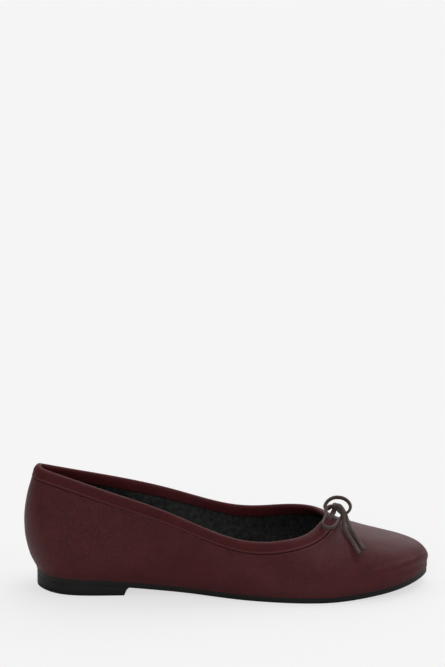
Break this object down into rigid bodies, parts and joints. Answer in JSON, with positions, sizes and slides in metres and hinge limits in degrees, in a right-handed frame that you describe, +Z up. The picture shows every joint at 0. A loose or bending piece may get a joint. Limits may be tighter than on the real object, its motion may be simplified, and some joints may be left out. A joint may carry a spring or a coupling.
{
  "type": "ballet flat",
  "caption": "Low ballet flat in oxblood leather with folded topline binding, drawstring bow at the throat, black sole and low heel block.",
  "frame": {"origin": "on the floor, in the middle of the heel block's underside", "axes": "+X towards the toe, +Y towards the inner side of the foot, +Z up"},
  "size_m": [0.252, 0.0819, 0.0771],
  "materials": {
    "oxblood_leather": "semi-matte fine grain",
    "black_rubber": "satin black",
    "black_sock": "matt black lining leather",
    "taupe_lace": "matt taupe lace"
  },
  "bodies": {
    "root": {"outsole": "black_rubber", "heel": "black_rubber", "upper": "oxblood_leather", "insole": "black_sock", "topline_binding": "oxblood_leather", "bow_knot": "taupe_lace", "bow_lead_outer": "taupe_lace", "bow_loop_outer": "taupe_lace", "bow_tail_outer": "taupe_lace", "bow_lead_inner": "taupe_lace", "bow_loop_inner": "taupe_lace", "bow_tail_inner": "taupe_lace"}
  },
  "joints": []
}
